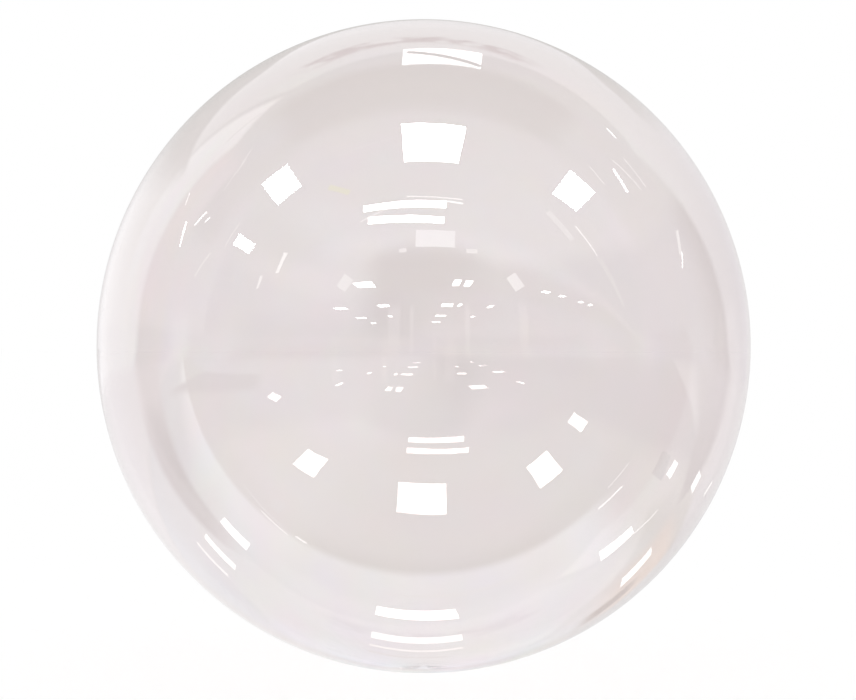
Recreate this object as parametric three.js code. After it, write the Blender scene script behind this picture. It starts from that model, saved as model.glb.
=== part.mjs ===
// A clear bubble balloon: one closed, air-filled ball of thin clear film.
// Its neck is drawn in and sealed flush on the underside, inside the small flat that it stands on.
// Units are millimetres, +Z is up, and the origin is the middle of that flat.

import * as THREE from "three";

// Driving dimensions
const DIAMETER = 508; // a 20 inch bubble, blown up tight
const FLAT_RADIUS = 34; // the patch of film that settles flat on the surface below it
const STEPS_AROUND = 72; // facets round the upright axis
const STEPS_ABOVE = 18; // rings of facets from the widest level up to the crown
const STEPS_BELOW = 17; // rings of facets from the flat up to the widest level

const RADIUS = DIAMETER / 2;
const CENTRE_HEIGHT = Math.sqrt(RADIUS ** 2 - FLAT_RADIUS ** 2);
const FLAT_ANGLE = -Math.acos(FLAT_RADIUS / RADIUS); // the flat's rim, measured from the widest level

// The film's finish: colourless with a faint rosy grey cast, very smooth.
const clearFilm = new THREE.MeshStandardMaterial({
  color: 0xece4e6,
  roughness: 0.03,
  metalness: 0,
  transparent: true,
  opacity: 0.18,
});

// A point of the ball's upright half profile, at an angle up from the widest level.
function onBall(angle) {
  return new THREE.Vector2(RADIUS * Math.cos(angle), CENTRE_HEIGHT + RADIUS * Math.sin(angle));
}

// The half profile: out along the flat, up and round the ball, and back to the axis at the crown.
function ballProfile() {
  const profile = [new THREE.Vector2(0, 0), new THREE.Vector2(FLAT_RADIUS, 0)];
  for (let step = 1; step <= STEPS_BELOW; step++) {
    profile.push(onBall(FLAT_ANGLE * (1 - step / STEPS_BELOW)));
  }
  for (let step = 1; step < STEPS_ABOVE; step++) {
    profile.push(onBall((Math.PI / 2) * (step / STEPS_ABOVE)));
  }
  profile.push(new THREE.Vector2(0, CENTRE_HEIGHT + RADIUS));
  return profile;
}

// The film envelope, as the closed ball that it holds when it is full.
function makeEnvelope() {
  const geometry = new THREE.LatheGeometry(ballProfile(), STEPS_AROUND);
  geometry.rotateX(Math.PI / 2);
  const envelope = new THREE.Mesh(geometry, clearFilm);
  envelope.name = "film_envelope";
  return envelope;
}

const balloon = new THREE.Group();
balloon.add(makeEnvelope());

export default balloon;
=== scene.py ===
"""A clear bubble balloon: one ball of thin clear film, blown up tight, standing on a small flat.

The film is one closed skin with a weak mirror-sharp gloss. Its look comes from what it mirrors, so the
studio round it is made here too: a pale floor and backdrop, a dim room and bright lamp panels.
"""

import math

import bpy
from mathutils import Euler, Matrix, Vector


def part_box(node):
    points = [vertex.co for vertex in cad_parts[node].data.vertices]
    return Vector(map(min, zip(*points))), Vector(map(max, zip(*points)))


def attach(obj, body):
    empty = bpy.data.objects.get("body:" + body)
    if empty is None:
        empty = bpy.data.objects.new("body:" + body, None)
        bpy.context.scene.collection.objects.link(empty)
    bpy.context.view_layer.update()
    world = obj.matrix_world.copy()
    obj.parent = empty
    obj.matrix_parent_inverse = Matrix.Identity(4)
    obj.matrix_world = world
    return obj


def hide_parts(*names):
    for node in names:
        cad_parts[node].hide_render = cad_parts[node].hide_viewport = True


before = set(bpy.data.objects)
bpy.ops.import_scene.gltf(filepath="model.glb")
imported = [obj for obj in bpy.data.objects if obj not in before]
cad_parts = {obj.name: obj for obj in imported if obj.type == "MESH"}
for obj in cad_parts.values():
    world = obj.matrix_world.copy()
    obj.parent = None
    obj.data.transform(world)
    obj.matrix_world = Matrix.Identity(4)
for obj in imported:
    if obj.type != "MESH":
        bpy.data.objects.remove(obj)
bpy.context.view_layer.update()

MM = 0.001

# --------------------------------------------------------------------------------------- the frame
film_low, film_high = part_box("film_envelope")
RADIUS = (film_high.x - film_low.x) / 2
CENTRE = Vector((0, 0, film_high.z - RADIUS))

# --------------------------------------------------------------------------------- driving values
# The film envelope
SEGMENTS = 360                # facets round the upright axis
RINGS = 258                   # facets from the seal up to the crown
RING_START = 0.2              # spacing of the rings at the seal, as a share of the even spacing
RING_REACH = 0.12             # share of the way up over which that spacing opens out
FLAT_BLEND = 1.6 * MM         # how softly the film turns into its flat
WAVE_LENGTH = 75 * MM         # slow waves left in the stretched film
WAVE_DEPTH = 0.09 * MM
FINE_LENGTH = 24 * MM         # faint fine waves over them
FINE_DEPTH = 0.008 * MM
SEAL_RADIUS = 6 * MM          # the welded spot where the neck was drawn in
SEAL_DEPTH = 1.2 * MM         # how far it stands in from the flat
GATHERS = 34                  # folds that run out from the seal
GATHER_DEPTH = 0.7 * MM
GATHER_REACH = 66 * MM        # they have died away this far from the seal
GATHER_SHARPNESS = 1.6        # above 1, the folds are narrower than the dips between them
GATHER_STRAY = 2.2            # how far the folds stray sideways, in radians of their own wave
STRAY_SCALE = 30.0            # how quickly that changes, as noise cells to the metre
FAR_FROM_SEAL = 10.0          # metres added above the widest level, where nothing of the seal shows

# The film's finish
FILM_TINT = (0.79, 0.73, 0.72)       # what is left of light that passes through
SHADOW_TINT = (0.95, 0.94, 0.94)     # and of light on its way to what stands behind
FILM_GLOSS = 1.85             # refractive index of the gloss: a higher one mirrors more
RIPPLE_SCALE = 60.0           # faint ripples in the gloss, as noise cells to the metre
RIPPLE_DEPTH = 0.02 * MM

# The camera, in ball radii from the ball's centre
CAMERA_AWAY = 8.0
CAMERA_RIGHT = 0.0133
CAMERA_DOWN = 0.0111
BALL_SHARE = 0.7643           # the ball's width as a share of the view's width
SENSOR = 36.0                 # the sensor's width in mm

# How often light is bent or mirrored before it is given up. The film needs many such steps.
BOUNCES = 24
GLOSSY_BOUNCES = 12


# ------------------------------------------------------------------------------------ node helpers
def join(tree, value, socket):
    """Feeds a node's input from another node's output, or sets it to a plain value."""
    if isinstance(value, bpy.types.NodeSocket):
        tree.links.new(value, socket)
    else:
        socket.default_value = value


def math_node(tree, operation, *values):
    """A Math node's result. The values are numbers or outputs of other nodes."""
    node = tree.nodes.new("ShaderNodeMath")
    node.operation = operation
    for value, socket in zip(values, node.inputs):
        join(tree, value, socket)
    return node.outputs[0]


def product(tree, *values):
    """Several values multiplied together."""
    result = values[0]
    for value in values[1:]:
        result = math_node(tree, "MULTIPLY", result, value)
    return result


def total(tree, first, second):
    """Two values added together."""
    return math_node(tree, "ADD", first, second)


def less(tree, first, second):
    """The first value less the second."""
    return math_node(tree, "SUBTRACT", first, second)


def quotient(tree, first, second):
    """The first value divided by the second."""
    return math_node(tree, "DIVIDE", first, second)


def vector_node(tree, operation, *values):
    """A Vector Math node's vector. The values are vectors, or outputs of other nodes."""
    node = tree.nodes.new("ShaderNodeVectorMath")
    node.operation = operation
    for value, socket in zip(values, node.inputs):
        join(tree, value, socket)
    return node.outputs["Vector"]


def scaled(tree, vector, share):
    """A vector times a number."""
    result = vector_node(tree, "SCALE", vector)
    join(tree, share, result.node.inputs["Scale"])
    return result


def length_of(tree, vector):
    """How long a vector is."""
    node = tree.nodes.new("ShaderNodeVectorMath")
    node.operation = "LENGTH"
    join(tree, vector, node.inputs[0])
    return node.outputs["Value"]


def split(tree, vector):
    """The three parts of a vector."""
    node = tree.nodes.new("ShaderNodeSeparateXYZ")
    join(tree, vector, node.inputs[0])
    return node.outputs


def combined(tree, x, y, z):
    """A vector from its three parts."""
    node = tree.nodes.new("ShaderNodeCombineXYZ")
    for value, socket in zip((x, y, z), node.inputs):
        join(tree, value, socket)
    return node.outputs[0]


def ramp(tree, value, start, end, low=0.0, high=1.0):
    """Goes smoothly from low to high as value goes from start to end."""
    node = tree.nodes.new("ShaderNodeMapRange")
    node.interpolation_type = "SMOOTHSTEP"
    settings = {"Value": value, "From Min": start, "From Max": end, "To Min": low, "To Max": high}
    for name, setting in settings.items():
        join(tree, setting, node.inputs[name])
    return node.outputs["Result"]


def until(tree, value, start, end):
    """1 as far as start, and smoothly down to 0 at end."""
    return ramp(tree, value, start, end, 1.0, 0.0)


def noise(tree, vector, scale, detail=0.0):
    """A noise texture's results: its value, from 0 to 1, and then its colour."""
    node = tree.nodes.new("ShaderNodeTexNoise")
    for name, setting in {"Vector": vector, "Scale": scale, "Detail": detail}.items():
        join(tree, setting, node.inputs[name])
    return node.outputs


# ------------------------------------------------------------------------------- the film envelope
def envelope_tree():
    """Geometry nodes for the ball: even film, slow waves, the flat below, and the gathers round the seal."""
    tree = bpy.data.node_groups.new("film_envelope_shape", "GeometryNodeTree")
    sizes = (
        ("Radius", "NodeSocketFloat"),
        ("Centre Height", "NodeSocketFloat"),
        ("Segments", "NodeSocketInt"),
        ("Rings", "NodeSocketInt"),
        ("Ring Start", "NodeSocketFloat"),
        ("Ring Reach", "NodeSocketFloat"),
        ("Flat Blend", "NodeSocketFloat"),
        ("Wave Length", "NodeSocketFloat"),
        ("Wave Depth", "NodeSocketFloat"),
        ("Fine Length", "NodeSocketFloat"),
        ("Fine Depth", "NodeSocketFloat"),
        ("Seal Radius", "NodeSocketFloat"),
        ("Seal Depth", "NodeSocketFloat"),
        ("Gathers", "NodeSocketInt"),
        ("Gather Depth", "NodeSocketFloat"),
        ("Gather Reach", "NodeSocketFloat"),
        ("Film", "NodeSocketMaterial"),
    )
    for name, kind in sizes:
        tree.interface.new_socket(name, in_out="INPUT", socket_type=kind)
    tree.interface.new_socket("Geometry", in_out="OUTPUT", socket_type="NodeSocketGeometry")
    given = tree.nodes.new("NodeGroupInput").outputs

    ball = tree.nodes.new("GeometryNodeMeshUVSphere")
    join(tree, given["Segments"], ball.inputs["Segments"])
    join(tree, given["Rings"], ball.inputs["Rings"])
    ball.inputs["Radius"].default_value = 1.0

    moved = tree.nodes.new("GeometryNodeSetPosition")
    join(tree, ball.outputs["Mesh"], moved.inputs["Geometry"])
    join(tree, film_place(tree, given), moved.inputs["Position"])
    smooth = tree.nodes.new("GeometryNodeSetShadeSmooth")
    join(tree, moved.outputs[0], smooth.inputs["Geometry"])
    real = tree.nodes.new("GeometryNodeRealizeInstances")
    join(tree, smooth.outputs[0], real.inputs["Geometry"])
    coated = tree.nodes.new("GeometryNodeSetMaterial")
    join(tree, real.outputs[0], coated.inputs["Geometry"])
    join(tree, given["Film"], coated.inputs["Material"])
    join(tree, coated.outputs[0], tree.nodes.new("NodeGroupOutput").inputs[0])
    return tree


def film_place(tree, given):
    """Where each point of an even ball of radius 1 goes in the balloon's film."""
    position = tree.nodes.new("GeometryNodeInputPosition").outputs[0]
    across = vector_node(tree, "NORMALIZE", vector_node(tree, "MULTIPLY", position, (1, 1, 0)))
    angle = angle_from_seal(tree, split(tree, position)[2], given)
    upward = combined(tree, 0.0, 0.0, product(tree, math_node(tree, "COSINE", angle), -1.0))
    outward = vector_node(tree, "ADD", scaled(tree, across, math_node(tree, "SINE", angle)), upward)

    # Slow waves and faint fine ones, in and out along the radius, weaker over the flat.
    radius = given["Radius"]
    place = scaled(tree, outward, radius)
    slow = wave(tree, place, given["Wave Length"], given["Wave Depth"])
    fine = wave(tree, place, given["Fine Length"], given["Fine Depth"])
    below = math_node(tree, "LESS_THAN", angle, math.pi / 2)
    from_axis = product(tree, math_node(tree, "SINE", angle), radius)
    from_seal = total(tree, from_axis, product(tree, less(tree, 1.0, below), FAR_FROM_SEAL))
    calm = ramp(tree, from_seal, 0.0, given["Gather Reach"])
    skin = scaled(tree, outward, total(tree, radius, product(tree, total(tree, slow, fine), calm)))

    x, y, z = split(tree, skin)
    above_floor = total(tree, z, given["Centre Height"])
    height = math_node(tree, "SMOOTH_MAX", above_floor, 0.0, given["Flat Blend"])
    inward = scaled(tree, outward, drawn_in(tree, across, place, from_seal, given))
    return vector_node(tree, "SUBTRACT", combined(tree, x, y, height), inward)


def angle_from_seal(tree, up, given):
    """Each ring's angle at the centre, from the seal up. Rings lie closer together near the seal."""
    lowered = math_node(tree, "MAXIMUM", math_node(tree, "MINIMUM", product(tree, up, -1.0), 1.0), -1.0)
    way = quotient(tree, math_node(tree, "ARCCOSINE", lowered), math.pi)
    start, reach = given["Ring Start"], given["Ring Reach"]
    made_up = quotient(tree, product(tree, less(tree, 1.0, start), reach), less(tree, 1.0, reach))
    rate = total(tree, 1.0, made_up)
    held_back = product(tree, less(tree, rate, start), reach)
    opened = less(tree, 1.0, math_node(tree, "EXPONENT", quotient(tree, product(tree, way, -1.0), reach)))
    return product(tree, less(tree, product(tree, rate, way), product(tree, held_back, opened)), math.pi)


def wave(tree, place, length, depth):
    """A noise of one wave length, in and out by depth."""
    value = noise(tree, place, quotient(tree, 1.0, length))[0]
    return product(tree, math_node(tree, "MULTIPLY_ADD", value, 2.0, -1.0), depth)


def drawn_in(tree, across, place, from_seal, given):
    """How far the film stands in: the gathers fan out from the seal and die away, round a sunken seal."""
    x, y, _ = split(tree, across)
    stray = product(tree, noise(tree, place, STRAY_SCALE)[0], GATHER_STRAY)
    round_ball = product(tree, math_node(tree, "ARCTAN2", y, x), given["Gathers"])
    folds = math_node(tree, "SINE", total(tree, round_ball, stray))
    ridge = math_node(tree, "POWER", math_node(tree, "MULTIPLY_ADD", folds, 0.5, 0.5), GATHER_SHARPNESS)
    # The gathers start over the outer half of the seal, and its hollow ends at twice its radius.
    edge = given["Seal Radius"]
    fade = until(tree, from_seal, edge, given["Gather Reach"])
    rise = ramp(tree, from_seal, product(tree, edge, 0.5), edge)
    gathers = product(tree, fade, fade, rise, product(tree, ridge, given["Gather Depth"]))
    seal = ramp(tree, from_seal, 0.0, product(tree, edge, 2.0), given["Seal Depth"], 0.0)
    return total(tree, gathers, seal)


def make_envelope(film):
    """The film envelope, as one plain closed mesh in the part's own frame."""
    holder = bpy.data.objects.new("film_maker", bpy.data.meshes.new("film_maker"))
    bpy.context.scene.collection.objects.link(holder)
    maker = holder.modifiers.new("shape", "NODES")
    maker.node_group = envelope_tree()
    settings = {
        "Radius": RADIUS,
        "Centre Height": CENTRE.z,
        "Segments": SEGMENTS,
        "Rings": RINGS,
        "Ring Start": RING_START,
        "Ring Reach": RING_REACH,
        "Flat Blend": FLAT_BLEND,
        "Wave Length": WAVE_LENGTH,
        "Wave Depth": WAVE_DEPTH,
        "Fine Length": FINE_LENGTH,
        "Fine Depth": FINE_DEPTH,
        "Seal Radius": SEAL_RADIUS,
        "Seal Depth": SEAL_DEPTH,
        "Gathers": GATHERS,
        "Gather Depth": GATHER_DEPTH,
        "Gather Reach": GATHER_REACH,
        "Film": film,
    }
    for item in maker.node_group.interface.items_tree:
        if item.in_out == "INPUT":
            maker[item.identifier] = settings[item.name]
    shaped = holder.evaluated_get(bpy.context.evaluated_depsgraph_get())
    mesh = bpy.data.meshes.new_from_object(shaped)
    mesh.name = "clear_film_ball"
    bpy.data.objects.remove(holder)
    envelope = bpy.data.objects.new("clear_film_ball", mesh)
    bpy.context.scene.collection.objects.link(envelope)
    return envelope


def clear_film():
    """Clear stretched film: see-through, a faint rosy grey, with a sharp gloss, strongest at the rim."""
    material = bpy.data.materials.new("clear_film")
    material.use_nodes = True
    tree = material.node_tree
    film = tree.nodes["Principled BSDF"]
    film.inputs["Base Color"].default_value = (*FILM_TINT, 1)
    film.inputs["Roughness"].default_value = 0.0
    film.inputs["IOR"].default_value = 1.0
    film.inputs["Transmission Weight"].default_value = 1.0
    film.inputs["Coat Weight"].default_value = 1.0
    film.inputs["Coat Roughness"].default_value = 0.0
    film.inputs["Coat IOR"].default_value = FILM_GLOSS

    place = tree.nodes.new("ShaderNodeTexCoord").outputs["Object"]
    bump = tree.nodes.new("ShaderNodeBump")
    bump.inputs["Strength"].default_value = 1.0
    bump.inputs["Distance"].default_value = 1.0
    ripples = product(tree, noise(tree, place, RIPPLE_SCALE, 1.0)[0], RIPPLE_DEPTH)
    join(tree, ripples, bump.inputs["Height"])
    join(tree, bump.outputs[0], film.inputs["Coat Normal"])

    # Lamps light what is behind the film almost as if it weren't there.
    passing = tree.nodes.new("ShaderNodeBsdfTransparent")
    passing.inputs["Color"].default_value = (*SHADOW_TINT, 1)
    shown = tree.nodes.new("ShaderNodeMixShader")
    join(tree, tree.nodes.new("ShaderNodeLightPath").outputs["Is Shadow Ray"], shown.inputs[0])
    join(tree, film.outputs[0], shown.inputs[1])
    join(tree, passing.outputs[0], shown.inputs[2])
    join(tree, shown.outputs[0], tree.nodes["Material Output"].inputs["Surface"])
    return material


# --------------------------------------------------------------------------------------- the stage
# All places and sizes below are in ball radii from the ball's centre: right, back and up.
LAMP_GLOW = 30.0              # the lamps' brightness, where white is 1
CEILING_GLOW = LAMP_GLOW / 2  # the same for the ceiling lights and tubes
WHITE = (1.0, 1.0, 1.0)
# the cool tint of the glowing panels that are painted reflections of the film's later repeats
PAINTED_REPEAT_COOL = (0.95, 0.97, 1.0)
YELLOW_GREEN = (0.8, 0.85, 0.15)

# The film shows each lamp twice: in its front, and upside down in its far inner side. A lamp can be
# set to show in one of the two only.
BOTH, FRONT, INNER = range(3)

# Lamp panels: place, size (width, height), how each is turned from facing the ball (degrees),
# brightness as a share of the lamps', colour, and where it shows
LAMPS = {
    "key": ((0.22, -2.14, 4.86), (1.43, 1.45), (-23.0, -6.0, -5.0), 1.0, WHITE, FRONT),
    "key_inner": ((0.09, -2.33, 4.88), (1.61, 1.34), (12.0, -9.0, -5.0), 1.0, WHITE, INNER),
    "left": ((-4.92, -2.26, 5.59), (1.11, 1.52), (1.0, -2.0, 68.0), 1.0, WHITE, FRONT),
    "left_inner": ((-5.23, -2.5, 5.32), (1.2, 1.62), (-4.0, 7.0, 66.0), 1.0, WHITE, INNER),
    "right": ((2.96, -1.56, 3.02), (0.76, 0.89), (-21.0, -34.0, -56.0), 1.0, WHITE, BOTH),
    "far_left": ((-10.11, -3.95, 5.77), (0.67, 1.72), (12.0, -7.0, 76.0), 1.0, WHITE, FRONT),
    "far_left_inner": ((-10.41, -4.25, 5.13), (0.83, 1.65), (-6.0, 7.0, 73.0), 1.0, WHITE, INNER),
    "far_right_inner": ((10.94, -5.71, 3.71), (0.84, 1.32), (-57.0, 28.0, 24.0), 1.0, WHITE, INNER),
    "back": ((0.47, 3.47, 7.77), (2.15, 2.2), (35.0, 6.0, 192.0), 0.12, WHITE, FRONT),
    "back_inner": ((0.29, 4.63, 7.27), (2.71, 0.91), (15.0, -34.0, 177.0), 1.0, WHITE, INNER),
    "back_cable": ((0.47, 2.51, 6.28), (1.8, 0.19), (0.0, 0.0, 167.0), 0.005, WHITE, FRONT),
    "strip_high": ((-0.53, -3.64, 3.5), (2.16, 0.2), (13.0, 17.0, 4.0), 1.0, WHITE, BOTH),
    "strip_low": ((-0.41, -3.88, 3.15), (1.89, 0.19), (-4.0, -6.0, 2.0), 1.0, WHITE, BOTH),
    "strip_thin": ((0.48, -5.9, 6.65), (2.5, 0.06), (0.0, 0.0, -5.0), 0.12, WHITE, FRONT),
    "strip_end": ((1.24, -6.0, 6.45), (1.05, 0.1), (0.0, 0.0, -11.0), 0.15, WHITE, FRONT),
    "strip_cross": ((-2.08, -6.26, 6.0), (1.75, 0.05), (0.0, 0.0, 35.0), 0.1, WHITE, FRONT),
    "glint": ((-5.16, 2.73, 6.24), (1.5, 0.09), (0.0, 30.0, 107.0), 0.035, WHITE, FRONT),
    "green_card": ((-3.6, -4.6, 6.7), (1.1, 0.28), (0.0, 0.0, -6.0), 0.045, YELLOW_GREEN, FRONT),
    # The film repeats each lamp again and again inside, fainter and fainter. These glowing panels are painted
    # reflections that stand for the third and later repeats.
    "middle": ((0.54, -7.37, 5.05), (1.85, 0.88), (0.0, 0.0, -2.0), 0.075, PAINTED_REPEAT_COOL, FRONT),
    "middle_left": ((-0.99, -7.67, 4.53), (0.34, 0.2), (0.0, 0.0, 15.0), 0.06, WHITE, FRONT),
    "middle_right": ((2.26, -7.42, 4.46), (0.55, 0.22), (0.0, 0.0, -7.0), 0.06, WHITE, FRONT),
    "low_left": ((-3.7, -7.6, 2.97), (0.53, 0.68), (0.0, 0.0, -30.0), 0.075, PAINTED_REPEAT_COOL, FRONT),
    "low_right": ((4.3, -7.26, 2.97), (0.56, 0.77), (0.0, 0.0, 29.0), 0.075, PAINTED_REPEAT_COOL, FRONT),
}

# Painted reflections: more repeats of the lamps, close round the foot of the ball, and small painted glints,
# as glowing level bars just over the floor: place (right, back), size (length, width), turn (degrees) and
# brightness as a share of the lamps'.
# The ball mirrors them close to its edge, where a thousandth shows, so these places have three figures.
BAR_HEIGHT = -0.985
PAINTED_REFLECTION_BARS = (
    ((-0.023, -0.445), (0.31, 0.037), 0.0, 0.11),
    ((-0.025, -0.378), (0.306, 0.012), 0.0, 0.06),
    ((-0.05, -0.331), (0.254, 0.008), 0.0, 0.03),
    ((-1.003, -0.503), (0.29, 0.07), -8.0, 0.16),
    ((-0.988, -0.247), (0.314, 0.05), -18.0, 0.12),
    ((-0.99, -0.098), (0.325, 0.025), -23.0, 0.07),
    ((0.976, -0.4), (0.32, 0.075), 20.5, 0.16),
    ((0.96, 0.008), (0.31, 0.09), 26.0, 0.09),
    ((2.008, -0.07), (0.35, 0.11), 22.0, 0.12),
    ((1.995, 0.675), (0.4, 0.14), 39.0, 0.08),
    ((1.98, 1.56), (0.56, 0.06), 64.0, 0.05),
    ((0.125, -0.686), (0.57, 0.007), 0.0, 0.055),
    ((-0.84, -0.815), (0.26, 0.01), 6.0, 0.09),
    ((-1.02, -0.86), (0.5, 0.008), 6.0, 0.05),
    ((-0.622, -0.821), (0.08, 0.01), 5.0, 0.12),
    ((-0.904, -0.95), (0.12, 0.1), 0.0, 0.035),
    ((1.231, -0.737), (0.35, 0.014), 7.5, 0.12),
    ((1.52, -0.815), (0.46, 0.008), 3.0, 0.08),
    ((1.26, -0.22), (0.36, 0.01), 29.0, 0.08),
    ((2.0, -0.3), (0.5, 0.2), 8.0, 0.002),
)

# Small ceiling lights behind the camera: rows, each with the place and width of its panels
CEILING = 6.8                 # how high they hang
CEILING_ROWS = (
    (-18.0, ((-6.6, 2.2), (3.6, 0.8), (4.9, 0.8))),
    (-28.5, ((-15.0, 2.6), (-6.8, 2.0), (4.0, 2.0), (6.2, 0.6), (11.8, 0.8))),
    (-39.5, ((-15.0, 2.4), (-7.8, 0.9), (4.0, 2.4), (11.7, 0.8))),
    (-50.0, ((-15.0, 1.5), (3.7, 2.2))),
)
CEILING_PANEL = 1.9           # how long each panel is from front to back
# The far inner side of the film shows them lower, swung a little to the left, and some more of them.
INNER_CEILING = 5.3
INNER_SWING = 0.0265          # how far to the left, for each radius that a row lies before the ball
INNER_ROWS = (
    (-18.0, ((12.4, 0.6), (-13.7, 0.5))),
    (-28.5, ((19.3, 1.0),)),
)
SIDE_ROW = -17.0              # a row of smaller ones, out to the right
SIDE_COLUMNS = (15.4, 19.0, 24.2, 27.6)
SIDE_PANEL = (1.1, 0.9)

# Thin ceiling tubes at both sides: from, to (right, back), thickness, share of the ceiling lights' glow
TUBES = (
    ((-3.2, -2.7), (-0.9, -2.4), 0.02, 0.1),
    ((-6.5, 0.6), (-8.7, 0.4), 0.04, 0.12),
    ((-5.9, 0.9), (-7.4, 0.4), 0.04, 0.12),
    ((-10.4, 4.0), (-11.5, 3.95), 0.08, 0.3),
    ((-11.0, 0.8), (-12.9, 1.6), 0.14, 0.5),
    ((-11.3, 0.2), (-12.0, 0.5), 0.14, 0.4),
    ((-13.0, 2.9), (-16.7, 2.9), 0.24, 0.55),
    ((-10.1, -2.7), (-13.5, -3.1), 0.12, 0.1),
    ((-10.0, -8.2), (-13.6, -10.5), 0.35, 0.22),
    ((-15.6, -9.7), (-19.5, -11.8), 0.35, 0.18),
    ((-15.6, -1.9), (-22.2, -1.0), 0.3, 0.1),
    ((-18.0, -6.7), (-20.2, -7.5), 0.3, 0.08),
    ((5.7, 3.2), (6.3, 3.2), 0.1, 0.4),
    ((6.9, 1.4), (9.5, 2.2), 0.06, 0.14),
    ((7.2, 2.4), (9.5, 2.9), 0.06, 0.14),
    ((6.3, -0.5), (7.6, -0.6), 0.06, 0.14),
    ((7.3, 0.9), (9.0, 0.7), 0.22, 0.6),
    ((6.3, -5.0), (9.5, -6.2), 0.4, 0.1),
    ((8.6, -4.9), (13.0, -6.1), 0.12, 0.2),
    ((13.5, -6.2), (34.0, -11.2), 0.6, 0.05),
    ((14.8, 5.3), (19.0, 5.4), 0.6, 0.1),
    ((18.5, 5.8), (22.2, 5.8), 0.25, 0.4),
)

# The floor where it is seen straight
FLOOR_HALF = 1000.0                  # half its width
FLOOR_MATT = 0.4                     # its grey, which takes the ball's shadow
FLOOR_GLOW = 0.6                     # what it glows with, so that the open floor comes out white

# The mirrored floor: a bright strip under the ball, a duller stretch before it, the open floor beyond.
# An EDGE is the stretch over which one colour turns into another.
FLOOR_NEAR = (0.64, 0.62, 0.57)      # the dull stretch, with its left and right ends
FLOOR_NEAR_LEFT = (0.98, 0.95, 0.93)
NEAR_LEFT_EDGE = (-0.9, -0.1)
FLOOR_NEAR_RIGHT = (0.24, 0.2, 0.23)
NEAR_RIGHT_EDGE = (1.8, 2.6)
FLOOR_FAR = ((1.09, 1.05, 1.15), (0.2, 0.17, 0.2))          # farther before the ball, to the left and right
FAR_SIDES_EDGE = (-1.0, 2.0)
FAR_EDGE = (-2.5, -1.7)
FLOOR_BEYOND = ((1.24, 1.22, 1.27), (0.76, 0.74, 0.77))     # behind the strip, to the left and right
BEYOND_SIDES_EDGE = (-2.0, 2.0)
FLOOR_OUTER_EDGE = (8.0, 24.0)       # how far out the floor turns into the room
STRIP_START = -0.81                  # the strip's front edge
STRIP_START_SOFT = 0.03              # how softly it starts
STRIP_INNER_SOFT = 0.3               # and how much more softly in the film's far inner side
STRIP_END = 0.65                     # its back edge
STRIP_END_SOFT = 0.15
STRIP_RIGHT = 1.06
STRIP_RIGHT_SOFT = 0.3
STRIP_EDGE = (1.75, 1.83, 1.95)      # its colour at its front edge
STRIP_BACK = (1.06, 1.1, 1.18)       # and half a radius farther in
STRIP_FADE = 0.5

# What the ball mirrors on a flat slant, close to its edge, to the left and right. The slant is how far
# behind RIM_START a place lies, divided by how far outside the ball's side it lies.
FLOOR_AT_RIM = ((1.03, 1.02, 1.03), (0.84, 0.83, 0.84))
RIM_SIDES_EDGE = (-1.2, 1.2)
RIM_START = -0.25
RIM_SIDE = 0.97
RIM_ROUNDING = 0.98                  # keeps the distance outside above nothing under the ball
RIM_SLANT_EDGE = (1.0, 2.4)

# Soft streaks on the floor: start (right, back), turn (degrees), length, half width and how fast it widens,
# colour at the start and colour farther out
FLOOR_STREAKS = (
    ((-1.0, -0.41), 160.0, 60.0, (0.07, 0.16), (0.22, 0.14, 0.18), (1.12, 0.98, 1.02)),
    ((1.7, 0.28), 29.5, 60.0, (0.07, 0.3), (0.16, 0.1, 0.12), (0.28, 0.22, 0.28)),
    ((0.68, -0.02), 32.0, 0.75, (0.24, 0.1), (1.0, 0.76, 0.6), (1.0, 0.76, 0.6)),
    ((0.58, -0.02), 32.0, 0.34, (0.065, 0.0), (0.4, 0.28, 0.24), (0.4, 0.28, 0.24)),
    ((-6.9, -1.0), -53.0, 3.3, (2.1, -0.18), (0.62, 0.53, 0.6), (0.62, 0.53, 0.6)),
)
STREAK_SIDES = (0.5, 1.15)           # from where to where a streak fades sideways, in half widths
STREAK_SOFT = 0.3                    # how softly it starts and ends, or less if it is short
STREAK_SHARE = 0.9                   # how much of the floor's colour it hides
STREAK_TURN = (0.0, 5.0)             # the stretch along it over which its colour changes

# Slow changes of tint all over the mirrored surroundings
MOTTLE = 0.42                        # how strong they are
MOTTLE_SCALE = 4.0
MOTTLE_DETAIL = 2.0
MOTTLE_END = (0.3, 0.8)              # they die away toward straight behind the ball
MOTTLE_FLOOR_END = (-0.5, 0.3)       # and on the floor this far back
HORIZON = (0.84, 0.83, 0.83)         # what the outermost rim mirrors, straight behind the ball
HORIZON_EDGE = (0.88, 0.99)

# The mirrored room, by direction in degrees: bearing from straight behind the ball, and rise. A stretch
# is from, to and how softly it starts and ends. An EDGE or TOP is where a thing starts or stops showing.
ROOM_DARK = (0.18, 0.13, 0.15)
WALL_RIGHT = (0.42, 0.38, 0.47)
WALL_RIGHT_STRETCH = (64.0, 158.0, 8.0)
WALL_RIGHT_TOP = (45.0, 55.0)
WALL_LEFT = ((1.3, 1.26, 1.38), (0.88, 0.83, 0.92))         # toward the camera and toward the back
WALL_LEFT_EDGE = (-170.0, -45.0)
WALL_LEFT_STRETCH = (-160.0, -21.0, 8.0)
WALL_LEFT_TOP = (34.0, 44.0)
WALL_FRONT = (0.64, 0.58, 0.67)
WALL_FRONT_EDGE = (107.0, 123.0)     # to either side
WALL_FRONT_TOP = (-4.0, 14.0)
# Pale uprights by the camera: bearing and half width
POSTS = ((-170.0, 2.0), (146.0, 1.5), (-176.0, 0.6), (165.0, 0.8))
POST_SOFT = 0.6
POST_RISE = (-6.0, 13.0, 2.0)
POST_COLOUR = (0.95, 0.9, 0.92)
POST_SHARE = 0.7                     # how much of the wall's colour they hide

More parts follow.
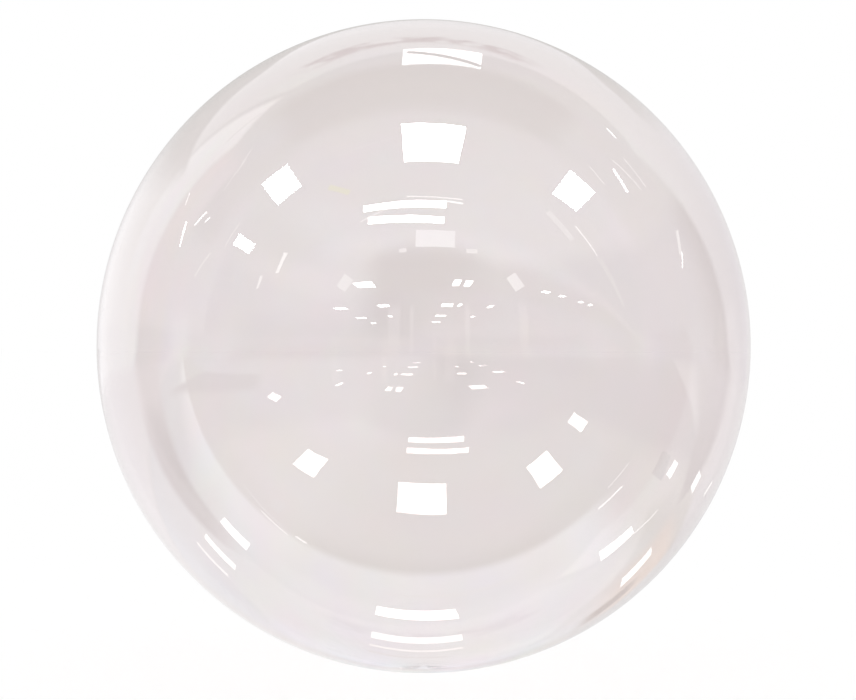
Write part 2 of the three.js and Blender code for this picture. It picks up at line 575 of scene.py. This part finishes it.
# The ceiling. Its places are on a plane one radius above the ball's centre.
CEILING_FRONT = (0.88, 0.87, 0.93)
CEILING_BACK = (0.63, 0.62, 0.62)
CEILING_EDGE = (-0.25, 0.05)
CEILING_GAP = (0.28, 0.25, 0.2)      # a dark opening in it
GAP_RIGHT = (-0.64, 0.64, 0.12)
GAP_BACK = (-0.02, 0.45, 0.08)
LEVEL = 0.001                        # the least rise that counts as up
# Behind the camera the dark room is a low dome, and the ceiling starts above it.
DOME_TOP = 33.0
DOME_FALL = 0.012                    # how fast it falls away, for each degree squared
DOME_FOOT = 24.0
DOME_EDGE = (-2.0, 6.0)

# The backdrop and what hangs beside it
BACKDROP_LEFT = -45.5
BACKDROP_RIGHT = 49.5
BACKDROP_MARGIN = 6.0                # its left end reaches this far behind the window
BACKDROP_SOFT = 2.5
BACKDROP_LEAN = 0.2                  # its sides lean to the right, for each degree of rise
BACKDROP_TOP = 57.0                  # its top is an arch
ARCH_MIDDLE = -10.0
ARCH_FALL = 0.0045                   # for each degree squared
ARCH_SOFT = 1.5
BACKDROP_COLOURS = ((1.4, 1.41, 1.43), (0.68, 0.65, 0.7))   # at its left and right ends
BACKDROP_HIGH = (1.02, 1.02, 1.02)
BACKDROP_HIGH_EDGE = (0.0, 45.0)
ROLL = (0.44, 0.31, 0.33)            # a thin dark roll that hangs across it, crumpled
ROLL_RISE = (44.2, 49.8, 1.6)
ROLL_STRETCH = (-27.0, 23.0, 4.0)
ROLL_SCALE = 14.0
ROLL_DETAIL = 2.0
ROLL_CRUMPLE = (0.35, 0.6)
WINDOW = (1.43, 1.44, 1.48)          # the bright stretch beside the backdrop
WINDOW_LEFT = -63.5
WINDOW_SOFT = 2.0
CURTAIN = (1.0, 0.87, 0.91)          # a duller upright stretch beside that
CURTAIN_STRETCH = (-79.0, WINDOW_LEFT, 2.5)
CURTAIN_RISE = (-20.0, 44.0, 5.0)
SCREEN = (1.35, 1.33, 1.42)          # and a pale one
SCREEN_STRETCH = (-93.0, -84.0, 3.0)
SCREEN_RISE = (-30.0, 6.0, 6.0)

# Straight behind the ball: a dark hill, its top lowest in the middle and its foot higher to both sides
HILL = (0.66, 0.65, 0.63)
HILL_STRETCH = (-52.0, 28.0, 4.0)
# Its top: bearings from and to, and the rise at each. The two are added.
HILL_TOP_LEFT = (-22.0, 2.0, 15.0, 0.0)
HILL_TOP_RIGHT = (2.0, 22.0, 15.0, 27.0)
HILL_TOP_SOFT = 1.0
HILL_FOOT_SLOPES = (-0.5, 0.8)       # how fast its foot rises, to the left and to the right
HILL_FOOT_EDGE = (-2.0, 9.0)


def light_path(tree, name):
    """How often the ray was mirrored, or passed through something, on its way."""
    return tree.nodes.new("ShaderNodeLightPath").outputs[name]


def happened(tree, name):
    """1 where a count of the ray's path is 1 or more, and 0 where it is 0."""
    return math_node(tree, "GREATER_THAN", light_path(tree, name), 0.5)


def either(tree, factor, first, second):
    """The first shader where factor is 0 and the second where it is 1."""
    shown = tree.nodes.new("ShaderNodeMixShader")
    for value, socket in zip((factor, first, second), shown.inputs):
        join(tree, value, socket)
    return shown.outputs[0]


def mirrored_only(tree, mirrored, otherwise):
    """A shader that is one thing where the film mirrors it and another where it is seen straight."""
    return either(tree, happened(tree, "Glossy Depth"), otherwise, mirrored)


def glow(tree, colour, strength):
    """An emission shader."""
    node = tree.nodes.new("ShaderNodeEmission")
    join(tree, colour, node.inputs["Color"])
    join(tree, strength, node.inputs["Strength"])
    return node.outputs[0]


def blended(tree, factor, first, second):
    """A colour that goes from the first to the second as factor goes from 0 to 1."""
    node = tree.nodes.new("ShaderNodeMix")
    node.data_type = "RGBA"
    join(tree, factor, node.inputs["Factor"])
    for colour, name in ((first, "A"), (second, "B")):
        join(tree, colour if isinstance(colour, bpy.types.NodeSocket) else (*colour, 1), node.inputs[name])
    return node.outputs["Result"]


def band(tree, value, start, end, soft):
    """1 between start and end, 0 outside, with soft edges."""
    return product(
        tree,
        ramp(tree, value, start - soft, start + soft),
        until(tree, value, end - soft, end + soft),
    )


def stage_material(name):
    """An empty material for the stage, with its node tree and the socket its surface goes to."""
    material = bpy.data.materials.new(name)
    material.use_nodes = True
    tree = material.node_tree
    tree.nodes.remove(tree.nodes["Principled BSDF"])
    return material, tree, tree.nodes["Material Output"].inputs["Surface"]


def lamp_material(name, brightness, colour, shown):
    """A lamp's face, which shows only where the film mirrors it once, in its front, its far side or both."""
    material, tree, surface = stage_material(name)
    clear = tree.nodes.new("ShaderNodeBsdfTransparent").outputs[0]
    # The depth is a whole number, so this is 1 where it is 1 and 0 where it is anything else.
    seen = band(tree, light_path(tree, "Glossy Depth"), 0.5, 1.5, 0.1)
    inside = happened(tree, "Transmission Depth")
    if shown == INNER:
        seen = product(tree, seen, inside)
    if shown == FRONT:
        seen = product(tree, seen, less(tree, 1.0, inside))
    join(tree, either(tree, seen, clear, glow(tree, (*colour, 1), brightness)), surface)
    material.cycles.emission_sampling = "NONE"
    return material


def panel_corners(middle, turned, size):
    """Corners of a panel round its middle, turned from lying level."""
    half_width, half_height = size[0] / 2, size[1] / 2
    return [
        middle + turned @ Vector((u * half_width, v * half_height, 0))
        for u, v in ((-1, -1), (1, -1), (1, 1), (-1, 1))
    ]


def ceiling_panels(rows, height, swing):
    """Corners of rows of small ceiling lights, swung a little round the ball."""
    return [
        floor_bar((right + swing * back, back), (width, CEILING_PANEL), 0.0, height)
        for back, row in rows
        for right, width in row
    ]


def side_panels():
    """Corners of the row of smaller ceiling lights."""
    return [floor_bar((right, SIDE_ROW), SIDE_PANEL, 0.0, CEILING) for right in SIDE_COLUMNS]


def tube_panel(start, end, thickness):
    """Corners of a thin ceiling tube."""
    start, end = Vector(start), Vector(end)
    along = end - start
    turn = math.degrees(math.atan2(along.y, along.x))
    return floor_bar((start + end) / 2, (along.length, thickness), turn, CEILING)


def facing_panel(place, size, turns):
    """Corners of a panel that faces the ball and is then turned a little."""
    away = Vector(place).normalized()
    right = Vector((0, 0, 1)).cross(away).normalized()
    facing = Matrix((right, away.cross(right), away)).transposed()
    turned = facing @ Euler([math.radians(turn) for turn in turns]).to_matrix()
    return panel_corners(Vector(place), turned, size)


def floor_bar(place, size, turn, height):
    """Corners of a bar that lies level at a height."""
    return panel_corners(Vector((*place, height)), Matrix.Rotation(math.radians(turn), 3, "Z"), size)


def make_lamps():
    """The lamp panels, tubes and ceiling lights, and the glowing panels and bars that are painted reflections
    of the film's later repeats and glints, as one object that shows only in the film.
    """
    mesh = bpy.data.meshes.new("lamp_panels")
    points, faces, kinds = [], [], []

    def add(material, panels):
        mesh.materials.append(material)
        for corners in panels:
            faces.append(tuple(range(len(points), len(points) + 4)))
            kinds.append(len(mesh.materials) - 1)
            points.extend(CENTRE + corner * RADIUS for corner in corners)

    # The lamps, and among them the glowing panels that are painted reflections of the film's later repeats.
    for name, (place, size, turns, share, colour, shown) in LAMPS.items():
        material = lamp_material("lamp_" + name, share * LAMP_GLOW, colour, shown)
        add(material, [facing_panel(place, size, turns)])
    # The painted reflections: glowing bars for the film's later repeats of the lamps and small painted
    # glints.
    for number, (place, size, turn, share) in enumerate(PAINTED_REFLECTION_BARS):
        material = lamp_material("floor_bar_%d" % number, share * LAMP_GLOW, WHITE, FRONT)
        add(material, [floor_bar(place, size, turn, BAR_HEIGHT)])
    for number, (start, end, thickness, share) in enumerate(TUBES):
        material = lamp_material("tube_%d" % number, share * CEILING_GLOW, WHITE, FRONT)
        add(material, [tube_panel(start, end, thickness)])
    front_lights = ceiling_panels(CEILING_ROWS, CEILING, 0.0) + side_panels()
    add(lamp_material("ceiling_light", CEILING_GLOW, WHITE, FRONT), front_lights)
    inner_lights = ceiling_panels(CEILING_ROWS + INNER_ROWS, INNER_CEILING, INNER_SWING)
    add(lamp_material("ceiling_light_inner", CEILING_GLOW, WHITE, INNER), inner_lights)

    mesh.from_pydata(points, [], faces)
    mesh.polygons.foreach_set("material_index", kinds)
    lamps = bpy.data.objects.new("lamp_panels", mesh)
    bpy.context.scene.collection.objects.link(lamps)
    lamps.visible_camera = False
    lamps.visible_diffuse = False
    lamps.visible_shadow = False


def make_floor():
    """The pale floor. The film mirrors its bright strip, which starts at a straight edge before the ball."""
    half = FLOOR_HALF * RADIUS
    corners = [(-half, -half, 0), (half, -half, 0), (half, half, 0), (-half, half, 0)]
    mesh = bpy.data.meshes.new("pale_floor")
    mesh.from_pydata(corners, [], [(0, 1, 2, 3)])
    material, tree, surface = stage_material("pale_floor")
    matt = tree.nodes.new("ShaderNodeBsdfDiffuse")
    matt.inputs["Color"].default_value = (FLOOR_MATT, FLOOR_MATT, FLOOR_MATT, 1)
    plain = tree.nodes.new("ShaderNodeAddShader")
    join(tree, matt.outputs[0], plain.inputs[0])
    join(tree, glow(tree, (1, 1, 1, 1), FLOOR_GLOW), plain.inputs[1])
    mirrored = glow(tree, floor_colour(tree), 1.0)
    join(tree, mirrored_only(tree, mirrored, plain.outputs[0]), surface)
    material.cycles.emission_sampling = "NONE"
    mesh.materials.append(material)
    floor = bpy.data.objects.new("pale_floor", mesh)
    bpy.context.scene.collection.objects.link(floor)


def floor_colour(tree):
    """The floor's colour, as the film mirrors it."""
    spot = tree.nodes.new("ShaderNodeTexCoord").outputs["Object"]
    place = scaled(tree, spot, 1 / RADIUS)
    right, back, _ = split(tree, place)
    far_side = happened(tree, "Transmission Depth")
    near = blended(tree, ramp(tree, right, *NEAR_LEFT_EDGE), FLOOR_NEAR_LEFT, FLOOR_NEAR)
    near = blended(tree, ramp(tree, right, *NEAR_RIGHT_EDGE), near, FLOOR_NEAR_RIGHT)
    far = blended(tree, ramp(tree, right, *FAR_SIDES_EDGE), *FLOOR_FAR)
    colour = blended(tree, ramp(tree, back, *FAR_EDGE), far, near)
    beyond = blended(tree, ramp(tree, right, *BEYOND_SIDES_EDGE), *FLOOR_BEYOND)
    strip_end = (STRIP_END - STRIP_END_SOFT, STRIP_END + STRIP_END_SOFT)
    colour = blended(tree, ramp(tree, back, *strip_end), colour, beyond)

    soft = math_node(tree, "MULTIPLY_ADD", far_side, STRIP_INNER_SOFT, STRIP_START_SOFT)
    in_strip = product(
        tree,
        ramp(tree, back, less(tree, STRIP_START, soft), total(tree, STRIP_START, soft)),
        until(tree, back, *strip_end),
        until(tree, right, STRIP_RIGHT - STRIP_RIGHT_SOFT, STRIP_RIGHT + STRIP_RIGHT_SOFT),
    )
    strip = blended(tree, ramp(tree, back, STRIP_START, STRIP_START + STRIP_FADE), STRIP_EDGE, STRIP_BACK)
    colour = blended(tree, in_strip, colour, strip)

    in_front = less(tree, 1.0, far_side)
    for start, turn, length, widths, near_shade, far_shade in FLOOR_STREAKS:
        streak, along = streak_factor(tree, right, back, start, turn, length, widths)
        shade = blended(tree, ramp(tree, along, *STREAK_TURN), near_shade, far_shade)
        colour = blended(tree, product(tree, streak, in_front), colour, shade)

    rounded = math_node(tree, "SQRT", math_node(tree, "MULTIPLY_ADD", right, right, RIM_ROUNDING))
    slant = quotient(tree, less(tree, back, RIM_START), less(tree, rounded, RIM_SIDE))
    at_rim = blended(tree, ramp(tree, right, *RIM_SIDES_EDGE), *FLOOR_AT_RIM)
    colour = blended(tree, ramp(tree, slant, *RIM_SLANT_EDGE), colour, at_rim)

    toward = vector_node(tree, "NORMALIZE", vector_node(tree, "SUBTRACT", spot, tuple(CENTRE)))
    far_out = ramp(tree, length_of(tree, place), *FLOOR_OUTER_EDGE)
    colour = blended(tree, far_out, colour, room_colour(tree, toward))
    return finished(tree, toward, colour, until(tree, back, *MOTTLE_FLOOR_END))


def streak_factor(tree, right, back, start, turn, length, widths):
    """1 along a streak on the floor that widens from its start, 0 away from it; and the distance along it."""
    u, v = math.cos(math.radians(turn)), math.sin(math.radians(turn))
    out_right = less(tree, right, start[0])
    out_back = less(tree, back, start[1])
    along = total(tree, product(tree, out_right, u), product(tree, out_back, v))
    sideways = less(tree, product(tree, out_back, u), product(tree, out_right, v))
    half_width = math_node(tree, "MULTIPLY_ADD", along, widths[1], widths[0])
    off = quotient(tree, math_node(tree, "ABSOLUTE", sideways), half_width)
    reached = band(tree, along, 0.0, length, min(STREAK_SOFT, length / 4))
    return product(tree, until(tree, off, *STREAK_SIDES), reached, STREAK_SHARE), along


def finished(tree, toward, colour, share):
    """The last touches on what the film mirrors: slow changes of tint, and the even horizon."""
    _, y, _ = split(tree, toward)
    tints = noise(tree, toward, MOTTLE_SCALE, MOTTLE_DETAIL)["Color"]
    centred = vector_node(tree, "SUBTRACT", tints, (0.5, 0.5, 0.5))
    strength = product(tree, ramp(tree, y, *MOTTLE_END, MOTTLE, 0.0), share)
    change = vector_node(tree, "ADD", scaled(tree, centred, strength), (1, 1, 1))
    tinted = vector_node(tree, "MULTIPLY", colour, change)
    return blended(tree, ramp(tree, y, *HORIZON_EDGE), tinted, HORIZON)


def room_colour(tree, toward):
    """The room's colour by direction, as the film mirrors it."""
    x, y, z = split(tree, toward)
    bearing = product(tree, math_node(tree, "ARCTAN2", x, y), 180 / math.pi)
    rise = product(tree, math_node(tree, "ARCSINE", z), 180 / math.pi)
    turned = math_node(tree, "ABSOLUTE", bearing)
    colour = with_walls(tree, bearing, turned, rise, ROOM_DARK)
    colour = blended(tree, above_dome(tree, turned, rise), colour, ceiling_colour(tree, x, y, z))
    colour = with_backdrop(tree, toward, bearing, rise, colour)
    return with_hill(tree, bearing, rise, finished(tree, toward, colour, 1.0))


def with_walls(tree, bearing, turned, rise, colour):
    """The walls to both sides and behind the camera, and the pale posts before them."""
    right = product(tree, band(tree, bearing, *WALL_RIGHT_STRETCH), until(tree, rise, *WALL_RIGHT_TOP))
    colour = blended(tree, right, colour, WALL_RIGHT)
    left = product(tree, band(tree, bearing, *WALL_LEFT_STRETCH), until(tree, rise, *WALL_LEFT_TOP))
    colour = blended(tree, left, colour, blended(tree, ramp(tree, bearing, *WALL_LEFT_EDGE), *WALL_LEFT))
    front = product(tree, ramp(tree, turned, *WALL_FRONT_EDGE), until(tree, rise, *WALL_FRONT_TOP))
    colour = blended(tree, front, colour, WALL_FRONT)
    for post, half_width in POSTS:
        wide = band(tree, bearing, post - half_width, post + half_width, POST_SOFT)
        upright = product(tree, wide, band(tree, rise, *POST_RISE), POST_SHARE)
        colour = blended(tree, upright, colour, POST_COLOUR)
    return colour


def above_dome(tree, turned, rise):
    """1 where the ceiling shows and 0 where the room below it does."""
    across = less(tree, 180.0, turned)
    dome = less(tree, DOME_TOP, product(tree, across, across, DOME_FALL))
    start = math_node(tree, "MAXIMUM", dome, DOME_FOOT)
    return ramp(tree, less(tree, rise, start), *DOME_EDGE)


def ceiling_colour(tree, x, y, z):
    """The ceiling, with its dark gap."""
    height = math_node(tree, "MAXIMUM", z, LEVEL)
    right = quotient(tree, x, height)
    back = quotient(tree, y, height)
    ceiling = blended(tree, ramp(tree, back, *CEILING_EDGE), CEILING_FRONT, CEILING_BACK)
    gap = product(tree, band(tree, right, *GAP_RIGHT), band(tree, back, *GAP_BACK))
    return blended(tree, gap, ceiling, CEILING_GAP)


def with_backdrop(tree, toward, bearing, rise, colour):
    """The backdrop with its dark roll, and the curtain, screen and window beside it."""
    curtain = product(tree, band(tree, bearing, *CURTAIN_STRETCH), band(tree, rise, *CURTAIN_RISE))
    colour = blended(tree, curtain, colour, CURTAIN)
    screen = product(tree, band(tree, bearing, *SCREEN_STRETCH), band(tree, rise, *SCREEN_RISE))
    colour = blended(tree, screen, colour, SCREEN)
    off_middle = less(tree, bearing, ARCH_MIDDLE)
    top = less(tree, BACKDROP_TOP, product(tree, off_middle, off_middle, ARCH_FALL))
    under = until(tree, less(tree, rise, top), -ARCH_SOFT, ARCH_SOFT)
    window = product(tree, band(tree, bearing, WINDOW_LEFT, BACKDROP_LEFT, WINDOW_SOFT), under)
    colour = blended(tree, window, colour, WINDOW)

    backdrop = blended(tree, ramp(tree, bearing, BACKDROP_LEFT, BACKDROP_RIGHT), *BACKDROP_COLOURS)
    backdrop = blended(tree, ramp(tree, rise, *BACKDROP_HIGH_EDGE), backdrop, BACKDROP_HIGH)
    crumple = ramp(tree, noise(tree, toward, ROLL_SCALE, ROLL_DETAIL)[0], *ROLL_CRUMPLE)
    roll = product(tree, band(tree, rise, *ROLL_RISE), band(tree, bearing, *ROLL_STRETCH), crumple)
    backdrop = blended(tree, roll, backdrop, ROLL)
    lean = product(tree, math_node(tree, "MAXIMUM", rise, 0.0), BACKDROP_LEAN)
    ends = (BACKDROP_LEFT - BACKDROP_MARGIN, BACKDROP_RIGHT, BACKDROP_SOFT)
    reach = product(tree, band(tree, less(tree, bearing, lean), *ends), under)
    return blended(tree, reach, colour, backdrop)


def with_hill(tree, bearing, rise, colour):
    """The dark hill straight behind the ball."""
    top = total(tree, ramp(tree, bearing, *HILL_TOP_LEFT), ramp(tree, bearing, *HILL_TOP_RIGHT))
    left_slope, right_slope = HILL_FOOT_SLOPES
    foot = math_node(tree, "MAXIMUM", product(tree, bearing, left_slope), product(tree, bearing, right_slope))
    hill = product(
        tree,
        until(tree, less(tree, rise, top), -HILL_TOP_SOFT, HILL_TOP_SOFT),
        ramp(tree, less(tree, rise, foot), *HILL_FOOT_EDGE),
        band(tree, bearing, *HILL_STRETCH),
    )
    return blended(tree, hill, colour, HILL)


def make_world():
    """White all round where it is seen straight, and the room where the film mirrors it."""
    world = bpy.data.worlds.new("studio")
    bpy.context.scene.world = world
    world.use_nodes = True
    tree = world.node_tree
    tree.nodes.clear()
    room = tree.nodes.new("ShaderNodeBackground")
    toward = tree.nodes.new("ShaderNodeTexCoord").outputs["Generated"]
    join(tree, room_colour(tree, toward), room.inputs["Color"])
    white = tree.nodes.new("ShaderNodeBackground")
    white.inputs["Color"].default_value = (1, 1, 1, 1)
    out = tree.nodes.new("ShaderNodeOutputWorld")
    join(tree, mirrored_only(tree, room.outputs[0], white.outputs[0]), out.inputs["Surface"])


def make_camera():
    """A long lens, level with the ball's centre."""
    lens = bpy.data.cameras.new("camera")
    lens.sensor_width = SENSOR
    lens.lens = SENSOR * BALL_SHARE / (2 * math.tan(math.asin(1 / CAMERA_AWAY)))
    camera = bpy.data.objects.new("camera", lens)
    bpy.context.scene.collection.objects.link(camera)
    camera.location = CENTRE + RADIUS * Vector((CAMERA_RIGHT, -CAMERA_AWAY, -CAMERA_DOWN))
    camera.rotation_euler = (math.pi / 2, 0, 0)
    bpy.context.scene.camera = camera


def make_stage():
    """Camera, floor, lamps and room. The white world lights the floor evenly."""
    make_camera()
    make_floor()
    make_lamps()
    make_world()
    scene = bpy.context.scene
    scene.view_settings.view_transform = "Standard"
    scene.cycles.max_bounces = BOUNCES
    scene.cycles.glossy_bounces = GLOSSY_BOUNCES
    scene.cycles.transmission_bounces = BOUNCES
    scene.cycles.transparent_max_bounces = BOUNCES
    scene.cycles.caustics_reflective = False
    scene.cycles.caustics_refractive = True


make_stage()
balloon = make_envelope(clear_film())
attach(balloon, "root")
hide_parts("film_envelope")
